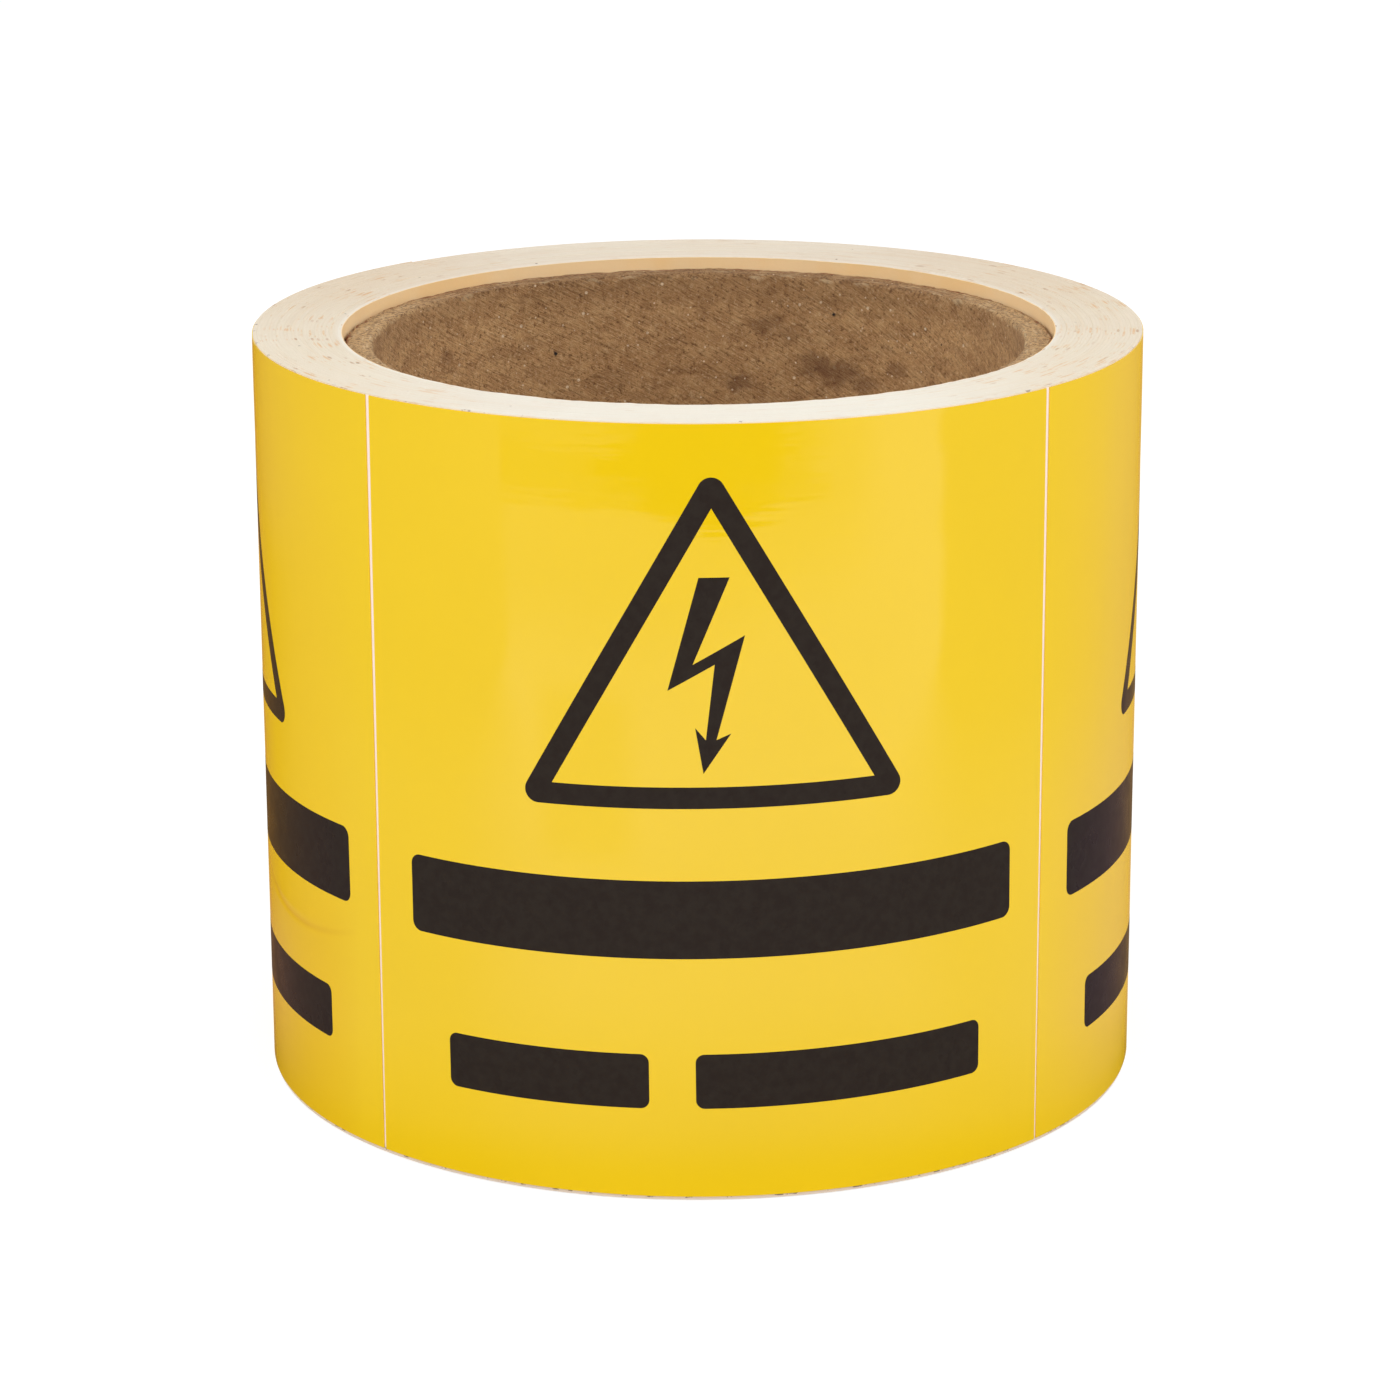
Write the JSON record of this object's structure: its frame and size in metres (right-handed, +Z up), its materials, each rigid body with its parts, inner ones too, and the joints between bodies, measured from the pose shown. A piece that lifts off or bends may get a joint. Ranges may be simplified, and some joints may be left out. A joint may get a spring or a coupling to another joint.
{
  "type": "roll of warning labels",
  "caption": "Roll of square self-adhesive warning labels, side by side on a wound paper liner, on a cardboard core that fits a spindle or dispenser.",
  "frame": {"origin": "on the core's axis, at the height of the lower end that the roll stands on", "axes": "+Z up along the core's axis; -Y is the way the middle of the front label faces; the liner runs inwards anticlockwise from its tail at the back, seen from above"},
  "size_m": [0.1039, 0.1036, 0.089],
  "materials": {
    "core_board": "matt brown wound board with pale fibres and darker stains",
    "liner_paper": "cream cut edges of coated liner paper",
    "label_vinyl": "glossy yellow printed vinyl"
  },
  "bodies": {
    "root": {"core": "core_board", "wound_liner": "liner_paper", "label_left": "label_vinyl", "label_front": "label_vinyl", "label_right": "label_vinyl", "label_rear": "label_vinyl"}
  },
  "joints": []
}
